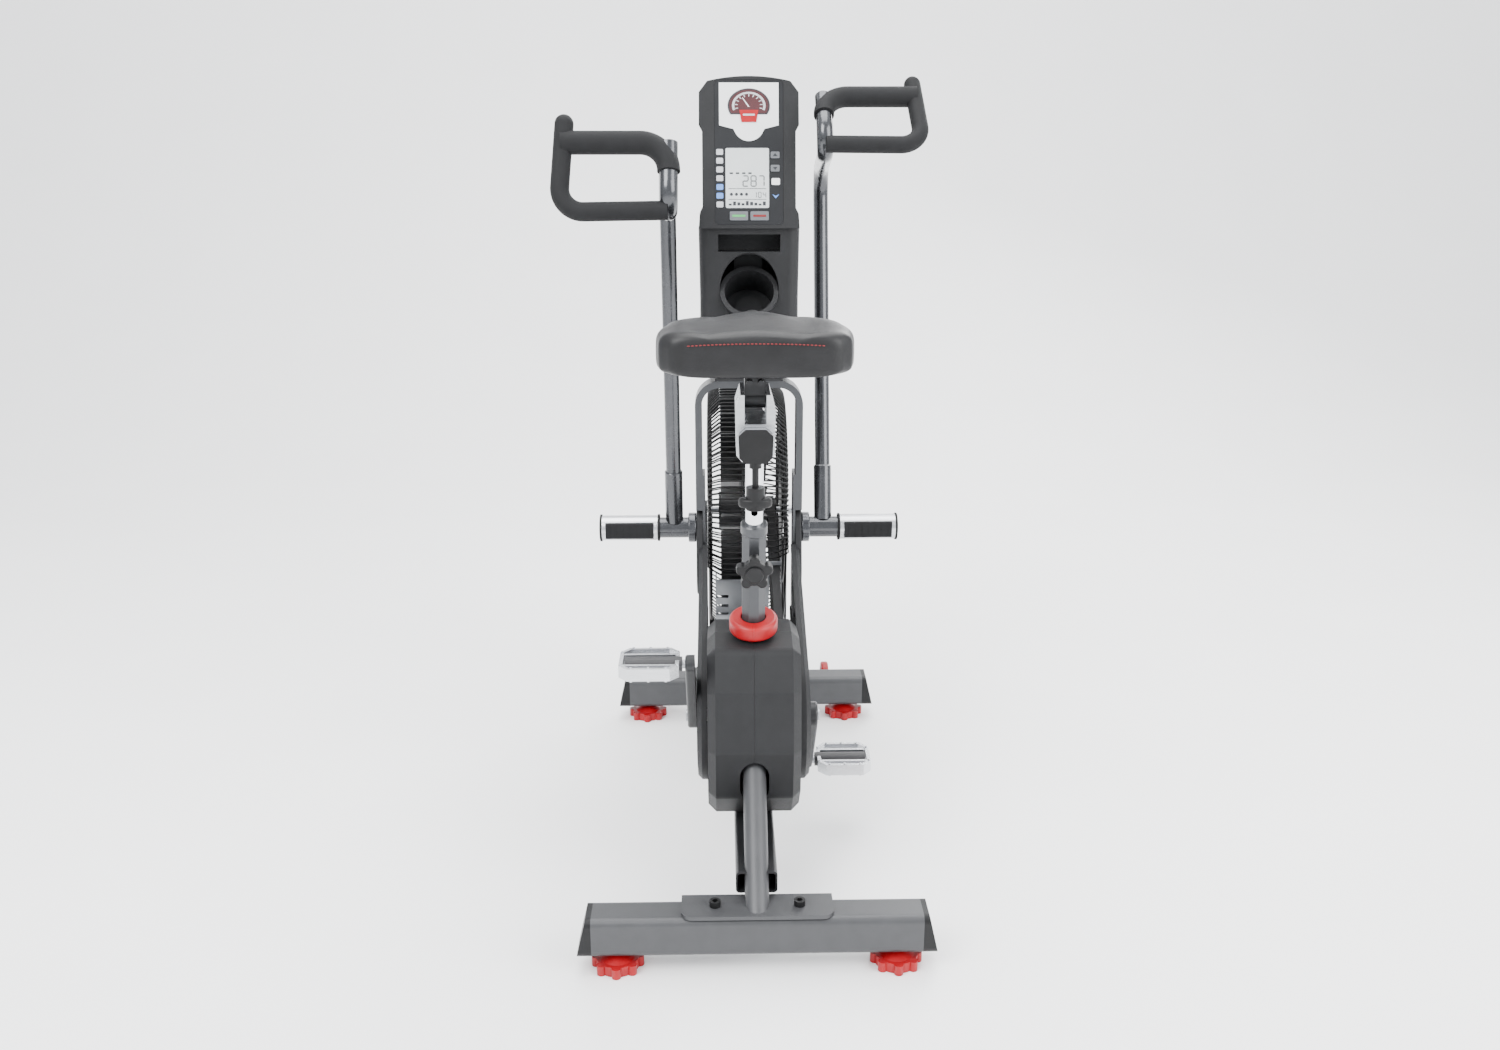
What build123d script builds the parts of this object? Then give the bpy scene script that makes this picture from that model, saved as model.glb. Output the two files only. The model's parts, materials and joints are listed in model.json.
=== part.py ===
from build123d import *
import math
import os

# Air bike, millimetres. The rider faces +Y, +Z is up, the middle plane is X = 0.
# The origin lies on the floor, at the middle of the base of the machine's box.

# ---- driving dimensions -------------------------------------------------------
OVERALL_LENGTH = 1180.0
CONSOLE_TOP = 1309.0
WHEELBASE = 890.0
FLOOR_GAP = 30.0             # floor to the underside of a stabiliser
STAB_DEPTH = 60.0
STAB_HEIGHT = 64.0
STAB_TUBE_HALF = 250.0
STAB_WALL = 2.5
FOOT_R = 40.0
REAR_Y = -OVERALL_LENGTH / 2 + FOOT_R
FRONT_Y = REAR_Y + WHEELBASE
STAB_TOP = FLOOR_GAP + STAB_HEIGHT
PLATE = 6.0                  # foot plates
PLATE_TOP = STAB_TOP + PLATE
BOLT_X = 64.0
FOOT_X = 213.0
CRANK_Y = -260.0
CRANK_Z = 279.0
CRANK_LENGTH = 175.0
CRANK_ANGLE = 37.7           # left crank, back from straight up
PIVOT_Y = 38.0               # arm pivot and foot pegs
PIVOT_Z = 519.0
ARM_SWING = 12.1             # left arm leans back, right arm forward
FAN_Z = 471.0
CAGE_R = 270.0               # to the middle of the wires
WIRE_D = 3.2
FAN_Y = OVERALL_LENGTH / 2 - CAGE_R - WIRE_D / 2
CAGE_HALF = 76.0             # to the middle of the side wires
SEAT_LEAN = 12.5             # seat tube, back from vertical
BEAM_W = 64.0
BEAM_H = 36.0
BEAM_TOP = PLATE_TOP + BEAM_H
FIT = 0.05                   # radial clearance of a shaft in its hole
GAP = 0.3                    # between parts that pass each other

# layers across the machine on each side, from the cage outward
LEG_IN, LEG_MID, LEG_OUT = 80.0, 84.6, 96.6
ROD_IN, ROD_OUT = 85.0, 88.8
LEVER_IN, LEVER_OUT = 89.6, 93.6
COVER_OUT = 91.6
ARM_X = 137.0

parts = {}


# ---- helpers ------------------------------------------------------------------
def slab(x0, x1, y0, y1, z0, z1):
    """A box between two corners."""
    return Pos((x0 + x1) / 2, (y0 + y1) / 2, (z0 + z1) / 2) * Box(x1 - x0, y1 - y0, z1 - z0)


def rod_x(radius, x0, x1, y, z):
    """A cylinder along X."""
    return Pos((x0 + x1) / 2, y, z) * Rot(Y=90) * Cylinder(radius, x1 - x0)


def rod_y(radius, y0, y1, x, z):
    """A cylinder along Y."""
    return Pos(x, (y0 + y1) / 2, z) * Rot(X=90) * Cylinder(radius, y1 - y0)


def rod_z(radius, z0, z1, x, y):
    """A cylinder along Z."""
    return Pos(x, y, (z0 + z1) / 2) * Cylinder(radius, z1 - z0)


def plate_x(sketch, x0, x1):
    """A flat sketch in (Y, Z) made solid from x0 to x1."""
    return extrude(Plane.YZ.offset(x0) * sketch, x1 - x0, dir=(1, 0, 0))


def plate_y(sketch, y0, y1):
    """A flat sketch in (X, Z) made solid from y0 to y1."""
    return extrude(Plane.XZ.offset(-y1) * sketch, y1 - y0, dir=(0, -1, 0))


def disc(radius, y, z):
    """A circle in the (Y, Z) sketch plane."""
    return Pos(y, z) * Circle(radius)


def belt_outline(first, second):
    """The stretched outline round two circles (y, z, radius)."""
    (y0, z0, r0), (y1, z1, r1) = first, second
    span = math.hypot(y1 - y0, z1 - z0)
    along = math.atan2(z1 - z0, y1 - y0)
    spread = math.acos((r0 - r1) / span)
    corners = []
    for y, z, r, side in ((y0, z0, r0, 1), (y0, z0, r0, -1), (y1, z1, r1, -1), (y1, z1, r1, 1)):
        turn = along + side * spread
        corners.append((y + r * math.cos(turn), z + r * math.sin(turn)))
    return Polygon(*corners, align=None) + disc(r0, y0, z0) + disc(r1, y1, z1)


def rounded(width, height, radius):
    return RectangleRounded(width, height, radius)


def mirrored(shape):
    return mirror(shape, about=Plane.YZ)


def both(shape):
    """A right-hand piece and its left-hand twin."""
    return [mirrored(shape), shape]


def add(name, shape):
    """Keep a node: one solid, or a list of separate solids."""
    if isinstance(shape, list):
        solids = []
        for one in shape:
            solids.extend(one.solids())
        shape = Compound(children=[Solid(s.wrapped) for s in solids])
    parts[name] = shape


def hexagon(across_flats, thick):
    return extrude(RegularPolygon(across_flats / math.sqrt(3), 6), thick)


# ---- stabilisers, foot plates and feet ------------------------------------------
def stabiliser(y):
    outer = rounded(STAB_DEPTH, STAB_HEIGHT, 12)
    inner = rounded(STAB_DEPTH - 2 * STAB_WALL, STAB_HEIGHT - 2 * STAB_WALL, 9.5)
    middle = FLOOR_GAP + STAB_HEIGHT / 2
    tube = plate_x(Pos(y, middle) * (outer - inner), -STAB_TUBE_HALF, STAB_TUBE_HALF)
    for x in (-BOLT_X, BOLT_X):
        tube -= rod_z(5.05, STAB_TOP - 8, STAB_TOP + 1, x, y)
    for x in (-FOOT_X, FOOT_X):
        boss = rod_z(13, FLOOR_GAP + 1, FLOOR_GAP + 24, x, y)
        tube = tube + boss - rod_z(6 + FIT, FLOOR_GAP - 1, FLOOR_GAP + 25, x, y)
    return tube


def end_cap(y):
    """Slanted plug at the +X end of a stabiliser."""
    middle = FLOOR_GAP + STAB_HEIGHT / 2
    body = plate_x(Pos(y, middle) * rounded(STAB_DEPTH, STAB_HEIGHT, 12), STAB_TUBE_HALF, 273)
    slope = Polygon((273, FLOOR_GAP), (280, FLOOR_GAP - 1), (280, STAB_TOP + 1), (258, STAB_TOP + 1), align=None)
    body -= plate_y(slope, y - 40, y + 40)
    plug_w = STAB_DEPTH - 2 * STAB_WALL - 0.6
    plug_h = STAB_HEIGHT - 2 * STAB_WALL - 0.6
    plug = plate_x(Pos(y, middle) * rounded(plug_w, plug_h, 9), STAB_TUBE_HALF - 11, STAB_TUBE_HALF)
    return body + plug


def levelling_foot(x, y):
    """Red lobed foot with its threaded stem."""
    lobe = 7.0
    ring = FOOT_R - lobe
    lobes = Circle(ring)
    for step in range(8):
        turn = math.radians(45 * step)
        lobes += Pos(ring * math.cos(turn), ring * math.sin(turn)) * Circle(lobe)
    base = extrude(lobes, 16)
    cone = Pos(0, 0, 20) * Cone(27, 12, 8)
    stem = rod_z(6, 20, FLOOR_GAP + 40, 0, 0)
    return Pos(x, y, 0) * (base + cone + stem)


def socket_bolt(x, y, top):
    head = rod_z(8.5, top, top + 9, x, y)
    hexa = Pos(x, y, top + 4) * hexagon(8, 6)
    shank = rod_z(5, top - PLATE - 7, top + 1, x, y)
    return head + shank - hexa


def foot_plate(y, sign):
    """Welded plate on a stabiliser; the corners on the outer side are round."""
    plate = slab(-115, 115, y - STAB_DEPTH / 2, y + STAB_DEPTH / 2, STAB_TOP, PLATE_TOP)
    outer_y = y + sign * STAB_DEPTH / 2
    plate = fillet(plate.edges().filter_by(Axis.Z).filter_by_position(Axis.Y, outer_y - 1, outer_y + 1), 18)
    for x in (-BOLT_X, BOLT_X):
        plate -= rod_z(5.05, STAB_TOP - 1, PLATE_TOP + 1, x, y)
    return plate


add("rear_stabiliser", stabiliser(REAR_Y))
add("stabiliser_end_caps", both(end_cap(REAR_Y)) + both(end_cap(FRONT_Y)))
add("stabiliser_bolts", [socket_bolt(x, y, PLATE_TOP) for y in (REAR_Y, FRONT_Y) for x in (-BOLT_X, BOLT_X)])
add("left_rear_foot", levelling_foot(-FOOT_X, REAR_Y))
add("right_rear_foot", levelling_foot(FOOT_X, REAR_Y))
add("left_front_foot", levelling_foot(-FOOT_X, FRONT_Y))
add("right_front_foot", levelling_foot(FOOT_X, FRONT_Y))

# ---- transport wheels -------------------------------------------------------------
WHEEL_R = 27.0
WHEEL_X = 175.0
WHEEL_Y = FRONT_Y + STAB_DEPTH / 2 + WHEEL_R + 3
WHEEL_Z = 67.0


def transport_wheel():
    tyre = fillet(rod_x(WHEEL_R, -8, 8, 0, 0).edges(), 4)
    for side in (-8, 8):
        tyre -= rod_x(16, side - 2.5, side + 2.5, 0, 0)
    return tyre - rod_x(4 + FIT, -10, 10, 0, 0)


def wheel_bracket():
    """Two cheeks on a back plate, with the wheel pin."""
    back_y = FRONT_Y + STAB_DEPTH / 2
    cheek = belt_outline((back_y + 3, WHEEL_Z, 14), (WHEEL_Y, WHEEL_Z, 9))
    body = plate_x(cheek, -12.5, -9.5) + plate_x(cheek, 9.5, 12.5)
    body += slab(-12.5, 12.5, back_y - 1, back_y + 2, WHEEL_Z - 14, WHEEL_Z + 14)
    body -= slab(-20, 20, back_y - 20, back_y - 1, 0, 150)
    return body + rod_x(4, -15, 15, WHEEL_Y, WHEEL_Z)


front_tube = stabiliser(FRONT_Y)
for x in (-WHEEL_X, WHEEL_X):
    front_tube += Pos(x, 0, 0) * wheel_bracket()
add("front_stabiliser", front_tube)
add("left_wheel", Pos(-WHEEL_X, WHEEL_Y, WHEEL_Z) * transport_wheel())
add("right_wheel", Pos(WHEEL_X, WHEEL_Y, WHEEL_Z) * transport_wheel())

# ---- main frame: rear stay, seat tube, lower beam ------------------------------------
lean = math.radians(SEAT_LEAN)
seat_plane = Plane(origin=(0, CRANK_Y, CRANK_Z), x_dir=(1, 0, 0),
                   z_dir=(0, -math.sin(lean), math.cos(lean)))
SEAT_TUBE_AF = 37.0
SEAT_TUBE_LENGTH = 371.0
POST_R = 14.0
BRACKET_R = 27.0
BEARING_R = 22.0
BRACKET_HALF = 36.0

STAY_SLOPE = 39.4
stay_foot = Vector(0, REAR_Y + 14, PLATE_TOP)
stay_dir = Vector(0, math.cos(math.radians(STAY_SLOPE)), math.sin(math.radians(STAY_SLOPE)))
stay_plane = Plane(origin=stay_foot - stay_dir * 60, x_dir=(1, 0, 0), z_dir=stay_dir)


def stay_bar(grow):
    return extrude(stay_plane * SlotOverall(46 + 2 * grow, 37 + 2 * grow, rotation=90), 420)


octagon = RegularPolygon(SEAT_TUBE_AF / 2, 8, major_radius=False, rotation=22.5)
tube_body = extrude(octagon, SEAT_TUBE_LENGTH - 16)
rim = Pos(0, 0, SEAT_TUBE_LENGTH - 9) * Cylinder(21, 18)
rim = chamfer(rim.edges(), 2)
bore = Pos(0, 0, SEAT_TUBE_LENGTH / 2 + 45) * Cylinder(POST_R + FIT, SEAT_TUBE_LENGTH)
PIN_HEIGHT = 305.0
pin_boss = Pos(0, -SEAT_TUBE_AF / 2 - 5, PIN_HEIGHT) * Rot(X=90) * Cylinder(11, 14)
pin_hole = Pos(0, -30, PIN_HEIGHT) * Rot(X=90) * Cylinder(5 + FIT, 60)
seat_tube = seat_plane * (tube_body + rim + pin_boss - bore - pin_hole)
shell = rod_x(BRACKET_R, -BRACKET_HALF, BRACKET_HALF, CRANK_Y, CRANK_Z)
shell_bore = rod_x(BEARING_R, -BRACKET_HALF - 1, BRACKET_HALF + 1, CRANK_Y, CRANK_Z)
seat_tube = seat_tube + shell - shell_bore
add("seat_tube", seat_tube)

stay = stay_bar(0) - stay_bar(-2.5)
stay -= slab(-60, 60, REAR_Y - 120, REAR_Y + 120, -50, STAB_TOP)
stay -= rod_x(BRACKET_R + 0.3, -60, 60, CRANK_Y, CRANK_Z)
stay -= seat_plane * (Pos(0, 60, 200) * Box(80, 157.6, 520))
stay = stay.solids().sort_by(SortBy.VOLUME)[-1]
add("rear_stay", stay + foot_plate(REAR_Y, -1))

beam_profile = rounded(BEAM_W, BEAM_H, 6) - rounded(BEAM_W - 6, BEAM_H - 6, 4)
beam = extrude(Plane.XZ.offset(-(FRONT_Y + 18)) * (Pos(0, PLATE_TOP + BEAM_H / 2) * beam_profile),
               FRONT_Y + 18 - (REAR_Y + 34))
beam -= stay_bar(0.4)
beam = beam.solids().sort_by(SortBy.VOLUME)[-1]
add("lower_beam", beam + foot_plate(FRONT_Y, 1))

bearing = Cylinder(BEARING_R, 12) - Cylinder(10 + FIT, 12)
add("crank_bearings", [Pos(x, CRANK_Y, CRANK_Z) * Rot(Y=90) * bearing for x in (-29, 29)])

# ---- red collar ------------------------------------------------------------------
COLLAR_Z = 185.0
collar = fillet((Pos(0, 0, COLLAR_Z) * Cylinder(39, 26)).edges(), 6)
collar -= Pos(0, 0, COLLAR_Z) * Cylinder(20.6, 30)
halves = []
for side in (-1, 1):
    halves.append(seat_plane * (collar & (Pos(side * 50.1, 0, COLLAR_Z) * Box(100, 100, 60))))
add("collar_halves", halves)

# ---- crank housing -----------------------------------------------------------------
HOUSING_HALF = 75.0
BELT_X0, BELT_X1 = 43.0, 57.0
outline = [(-92, 154), (-30, 162), (60, 150), (128, 78), (135, -60), (72, -141),
           (-76, -141), (-126, -88), (-138, -5), (-122, 92)]
outline = [(CRANK_Y + y, CRANK_Z + z) for y, z in outline]
profile = Polygon(*outline, align=None)
profile = fillet(profile.vertices(), 16)


def housing_half():
    outer = plate_x(profile, 0.15, HOUSING_HALF)
    outer = chamfer(outer.faces().sort_by(Axis.X)[-1].edges(), 13)
    inner = plate_x(offset(profile, -3), -1, HOUSING_HALF - 3)
    inner = chamfer(inner.faces().sort_by(Axis.X)[-1].edges(), 12)
    body = outer - inner
    body -= rod_x(26, 60, 80, CRANK_Y, CRANK_Z)
    body -= seat_plane * (Pos(0, 0, 160) * Cylinder(21.5, 120))
    body -= extrude(stay_plane * SlotOverall(66, 47, rotation=90), 340)
    body -= slab(BELT_X0 - 2, BELT_X1 + 2, CRANK_Y + 95, CRANK_Y + 160, CRANK_Z - 45, CRANK_Z + 132)
    body -= slab(-1, BEAM_W / 2 + 1, CRANK_Y - 150, CRANK_Y + 150, 0, BEAM_TOP + 0.3)
    return body


right_housing = housing_half()
add("right_housing", right_housing)
add("left_housing", mirrored(right_housing))


# ---- side covers over the push rods --------------------------------------------------
COVER_IN = 76.0
crank_circle = (CRANK_Y, CRANK_Z, 106.0)
pivot_circle = (PIVOT_Y - 2, PIVOT_Z - 73, 58.0)
cover_outline = belt_outline(crank_circle, pivot_circle)
leg_outline = belt_outline((PIVOT_Y + 2, PIVOT_Z - 77, 52), (PIVOT_Y + 2, PIVOT_Z + 11, 27))
HOLE_Y, HOLE_Z = -70.0, 411.0
leaf = Pos(HOLE_Y, HOLE_Z) * Rot(Z=31) * Ellipse(32, 12)
leaf_rim = Pos(HOLE_Y, HOLE_Z) * Rot(Z=31) * Ellipse(34.5, 14.5)


def side_cover():
    long_part = plate_x(cover_outline, COVER_IN, COVER_OUT)
    long_part = chamfer(long_part.faces().sort_by(Axis.X)[-1].edges(), 7)
    leg_part = plate_x(leg_outline, ROD_IN + 0.2, LEG_OUT)
    leg_part = fillet(leg_part.faces().sort_by(Axis.X)[-1].edges(), 4)
    crank_disc = rod_x(88, COVER_OUT - 1, COVER_OUT + 0.9, CRANK_Y, CRANK_Z)
    body = long_part + leg_part + crank_disc
    body -= plate_x(offset(cover_outline, -9.5), COVER_IN - 1, COVER_OUT - 2)
    body -= plate_x(offset(leg_outline, -2.4), COVER_IN - 1, LEG_OUT - 2.2)
    body += plate_x(leaf_rim, COVER_IN, COVER_OUT - 1)
    body -= plate_x(leaf, COVER_IN - 1, COVER_OUT + 1)
    body -= slab(LEG_IN - 0.5, LEG_MID + 0.2, PIVOT_Y - 25.5, PIVOT_Y + 25.5, 300, 620)
    body -= rod_x(21, LEG_OUT - 4, LEG_OUT + 1, PIVOT_Y, PIVOT_Z)
    body -= rod_x(24, COVER_OUT - 4, COVER_OUT + 2, CRANK_Y, CRANK_Z)
    body -= slab(COVER_IN - 1, ROD_IN - 0.4, PIVOT_Y - 20, PIVOT_Y + 110, PIVOT_Z - 155, PIVOT_Z + 85)
    return body.solids().sort_by(SortBy.VOLUME)[-1]


right_cover = side_cover()
add("right_side_cover", right_cover)
add("left_side_cover", mirrored(right_cover))

# ---- fork that straddles the cage ------------------------------------------------------
FORK_TOP = 796.0
FORK_DEPTH = 50.0
PEG_IN, PEG_OUT = 168.0, 270.0
fork_y0, fork_y1 = PIVOT_Y - FORK_DEPTH / 2, PIVOT_Y + FORK_DEPTH / 2


def arch(half, top, radius, bottom):
    shape = Pos(0, (top + bottom) / 2) * Rectangle(2 * half, top - bottom)
    corners = shape.vertices().group_by(Axis.Y)[-1]
    return fillet(corners, radius)


fork = plate_y(arch(LEG_OUT, FORK_TOP, 44, PIVOT_Z + 39) - arch(LEG_MID, FORK_TOP - 12, 32, PIVOT_Z), fork_y0, fork_y1)
for side in (-1, 1):
    inner = sorted((side * LEG_IN, side * LEG_MID))
    leg = slab(inner[0], inner[1], fork_y0, fork_y1, BEAM_TOP, PIVOT_Z + 105)
    fork += leg
fork += slab(-LEG_MID, LEG_MID, fork_y0, fork_y1, BEAM_TOP, BEAM_TOP + 5)


def peg_axle():
    """Stub axle welded to the fork, for the arm and the foot peg."""
    axle = rod_x(12, LEG_IN, PEG_OUT - 20, PIVOT_Y, PIVOT_Z)
    return chamfer(axle.edges().sort_by(Axis.X)[-1], 1.5)


for stub in both(peg_axle()):
    fork += stub
add("fork", fork)

fan_fork = slab(-LEG_MID, LEG_MID, FAN_Y - 20, FAN_Y + 20, BEAM_TOP, BEAM_TOP + 5)
strut_shape = belt_outline((FAN_Y, BEAM_TOP + 20, 20), (FAN_Y, FAN_Z, 20)) + \
    Pos(FAN_Y, BEAM_TOP + 10) * Rectangle(40, 20)
for x0, x1 in ((-LEG_MID, -LEG_IN), (LEG_IN, LEG_MID)):
    fan_fork += plate_x(strut_shape, x0, x1)
fan_fork -= rod_x(6 + FIT, -100, 100, FAN_Y, FAN_Z)
add("fan_fork", fan_fork)

# ---- foot pegs ----------------------------------------------------------------------
PEG_R = 23.0


def peg():
    body = rod_x(PEG_R, PEG_IN, PEG_OUT, PIVOT_Y, PIVOT_Z)
    body -= rod_x(12 + FIT, PEG_IN - 1, PEG_OUT - 19, PIVOT_Y, PIVOT_Z)
    body -= Pos((PEG_IN + PEG_OUT) / 2, PIVOT_Y - PEG_R, PIVOT_Z) * Box(88, 10, 30)
    return body


def peg_pad():
    """Ribbed rubber pad let into the back of the peg."""
    pad = Pos((PEG_IN + PEG_OUT) / 2, PIVOT_Y - PEG_R + 1.5, PIVOT_Z) * Box(87.6, 6.6, 29.6)
    pad = fillet(pad.edges().filter_by(Axis.X).sort_by(Axis.Y)[:2], 3)
    for step in range(7):
        x = PEG_IN + 15 + 12 * step
        pad -= Pos(x, PIVOT_Y - PEG_R - 2, PIVOT_Z) * Box(2.5, 1.6, 40)
    return pad


def peg_flange(x):
    ring = rod_x(PEG_R + 2, x, x + 4, PIVOT_Y, PIVOT_Z)
    ring = fillet(ring.edges(), 1)
    if x < PEG_OUT:
        ring -= rod_x(12 + FIT, x - 1, x + 5, PIVOT_Y, PIVOT_Z)
    return ring


add("foot_pegs", both(peg()))
add("peg_rubbers", both(peg_pad()) + both(peg_flange(PEG_IN - 4)) + both(peg_flange(PEG_OUT)))

# ---- moving arms -----------------------------------------------------------------------
# Built upright for the right side with the pivot at the origin, then swung.
TUBE_R = 13.5
GRIP_R = 17.0
LOW_GRIP_R = 14.0
BEND = (136, 40, 655)
LOW_CORNER = (124, -242, 635)
HIGH_CORNER = (124, -170, 737)
HIGH_END = (281, -170, 737)
LOW_START = (126, -216, 650)
LOW_END = (286, -218, 648)
STUB_END = (276.3, -154.8, 760.3)
LEVER_LENGTH = 100.0


def sweep_round(points, radii, radius):
    path = FilletPolyline(*points, radius=radii)
    section = Plane(origin=path @ 0, z_dir=path % 0) * Circle(radius)
    return sweep(section, path=path)


def arm_body():
    """Tube, sleeve, T hub, collar and the lever inside the cover."""
    start = (ARM_X, 0, 14)
    tube = sweep_round([start, BEND, LOW_CORNER, HIGH_CORNER], [52, 30], TUBE_R)
    direction = (Vector(*BEND) - Vector(*start)).normalized()
    sleeve_plane = Plane(origin=start, z_dir=direction)
    sleeve = extrude(sleeve_plane * Circle(16), 100)
    sleeve = chamfer(sleeve.edges().sort_by(Axis.Z)[-1], 1.5)
    hub = rod_x(19, 111, PEG_IN - 4.4, 0, 0)
    collar_disc = fillet(rod_x(27.5, LEG_OUT + 0.6, 111.4, 0, 0).edges(), 2)
    boss = rod_x(19.5, LEVER_IN, LEG_OUT + 2, 0, 0)
    lever = plate_x(belt_outline((0, 0, 19.5), (0, -LEVER_LENGTH, 11)), LEVER_IN, LEVER_OUT)
    pin = rod_x(5, ROD_IN, LEVER_IN + 1, 0, -LEVER_LENGTH)
    body = tube + sleeve + hub + collar_disc + boss + lever + pin
    return body - rod_x(12 + FIT, LEVER_IN - 1, PEG_IN, 0, 0)


def grip_loop():
    """Rubber-covered handle: upper bar with its bend, lower bar, outer bar and stub."""
    riser = (Vector(*HIGH_CORNER) - Vector(*LOW_CORNER)).normalized()
    top = Vector(*HIGH_CORNER) - riser * 44
    upper = sweep_round([tuple(top), HIGH_CORNER, HIGH_END], [42], GRIP_R)
    lower = sweep_round([LOW_START, LOW_END, STUB_END], [34], LOW_GRIP_R)
    knob = Pos(*STUB_END) * Sphere(LOW_GRIP_R)
    core = sweep_round([(ARM_X, 0, 14), BEND, LOW_CORNER, HIGH_CORNER], [52, 30], TUBE_R)
    loop = upper + lower + knob
    return (loop - core).solids().sort_by(SortBy.VOLUME)[-1]


def rod_link():
    """Push rod from the lever pin back towards the crank, pin at the origin."""
    span = Vector(0, CRANK_Y - PIVOT_Y, CRANK_Z - PIVOT_Z + LEVER_LENGTH)
    direction = span.normalized()
    far = direction * (span.length - 112)
    bar = belt_outline((0, 0, 11), (far.Y, far.Z, 9))
    link = plate_x(bar, ROD_IN, ROD_OUT)
    link -= rod_x(5 + FIT, ROD_IN - 1, ROD_OUT + 1, 0, 0)
    return link - rod_x(5, ROD_IN - 1, ROD_OUT + 1, far.Y, far.Z)


arm_shape = arm_body()
grip_shape = grip_loop()
link_shape = rod_link()


def lever_pin(turn):
    """World (y, z) of a lever's pin when the arm leans forward by turn degrees."""
    angle = math.radians(turn)
    return PIVOT_Y - LEVER_LENGTH * math.sin(angle), PIVOT_Z - LEVER_LENGTH * math.cos(angle)


for name, turn, flip in (("left", -ARM_SWING, mirrored), ("right", ARM_SWING, None)):
    place = Pos(0, PIVOT_Y, PIVOT_Z) * Rot(X=-turn)
    pin_y, pin_z = lever_pin(turn)
    made = [place * arm_shape, place * grip_shape, Pos(0, pin_y, pin_z) * link_shape]
    if flip:
        made = [flip(one) for one in made]
    add(name + "_arm", made[0])
    add(name + "_grips", made[1])
    add(name + "_rod", made[2])
    print(name, "lever pin y z", round(pin_y, 3), round(pin_z, 3))

# ---- crank, pulley, eccentrics and pedals ------------------------------------------------
CRANK_X0, CRANK_X1 = 94.0, 109.0
PULLEY_R = 72.0
FAN_PULLEY_R = 24.0
ECCENTRIC = 24.0
crank_place = Pos(0, CRANK_Y, CRANK_Z)


def crank_arm():
    """Right crank arm hanging straight down, with square-edged bosses."""
    shape = belt_outline((0, 0, 21), (0, -CRANK_LENGTH, 14.5))
    arm = plate_x(shape, CRANK_X0, CRANK_X1)
    arm = fillet(arm.faces().sort_by(Axis.X)[-1].edges(), 4)
    arm -= rod_x(10, CRANK_X0 - 1, CRANK_X1 + 1, 0, 0)
    return arm - rod_x(7, CRANK_X0 - 1, CRANK_X1 + 1, 0, -CRANK_LENGTH)


def pedal_spindle():
    """Spindle screwed into the crank arm, along X from the arm."""
    return rod_x(7, CRANK_X0 + 1, 113, 0, 0) + rod_x(5, 112, 203, 0, 0)


PEDAL_IN, PEDAL_OUT = 118.0, 212.0
PEDAL_DEPTH = 88.0
PEDAL_THICK = 24.0


def pedal_cage():
    """Bright platform frame: two side plates, two toothed cross plates and pins."""
    middle = (PEDAL_IN + PEDAL_OUT) / 2
    width = PEDAL_OUT - PEDAL_IN
    half = PEDAL_DEPTH / 2
    plan = Polygon((-width / 2, -half + 16), (-width / 2 + 14, -half), (width / 2 - 14, -half),
                   (width / 2, -half + 16), (width / 2, half - 16), (width / 2 - 14, half),
                   (-width / 2 + 14, half), (-width / 2, half - 16), align=None)
    frame = extrude(plan - offset(plan, -6), PEDAL_THICK - 4)
    frame = Pos(middle, 0, -(PEDAL_THICK - 4) / 2) * frame
    for y in (-22, 22):
        frame += slab(PEDAL_IN + 2, PEDAL_OUT - 2, y - 3, y + 3, -8, 8)
    for x in (PEDAL_IN + 20, middle, PEDAL_OUT - 20):
        for y in (-half + 3, half - 3):
            frame += rod_z(2, -PEDAL_THICK / 2, PEDAL_THICK / 2, x, y)
    for y in (-25, 25):
        for x in (PEDAL_IN + 3, PEDAL_OUT - 3):
            frame += rod_z(2, -PEDAL_THICK / 2, PEDAL_THICK / 2, x, y)
    return frame - rod_x(13, PEDAL_IN - 1, PEDAL_IN + 8, 0, 0)


def pedal_core():
    """Black bearing body round the spindle, with ribs to the platform frame."""
    core = rod_x(12, 113.6, PEDAL_OUT - 8, 0, 0) + slab(PEDAL_IN + 10, PEDAL_OUT - 8, -18.8, 18.8, -5, 5)
    return core - rod_x(5 + FIT, 112, 203.3, 0, 0)


def spin(shape, clock):
    """Turn about the crank axis; clock 0 hangs down, positive turns the bottom backward."""
    return crank_place * Rot(X=-clock) * shape


LEFT_CLOCK = 180 - CRANK_ANGLE
RIGHT_CLOCK = -CRANK_ANGLE


def pedal_centre(clock):
    turn = math.radians(clock)
    return CRANK_Y - CRANK_LENGTH * math.sin(turn), CRANK_Z - CRANK_LENGTH * math.cos(turn)


add("crank_axle", rod_x(10, -112, 112, CRANK_Y, CRANK_Z))
add("crank_arms", [mirrored(spin(crank_arm(), LEFT_CLOCK)), spin(crank_arm(), RIGHT_CLOCK)])
spindles = []
for name, clock, flip in (("left", LEFT_CLOCK, True), ("right", RIGHT_CLOCK, False)):
    y, z = pedal_centre(clock)
    print(name, "pedal y z", round(y, 3), round(z, 3))
    pedal = [Pos(0, y, z) * pedal_cage(), Pos(0, y, z) * pedal_core()]
    add(name + "_pedal", [mirrored(one) for one in pedal] if flip else pedal)
    spindle = Pos(0, y, z) * pedal_spindle()
    spindles.append(mirrored(spindle) if flip else spindle)
add("pedal_spindles", spindles)

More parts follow.
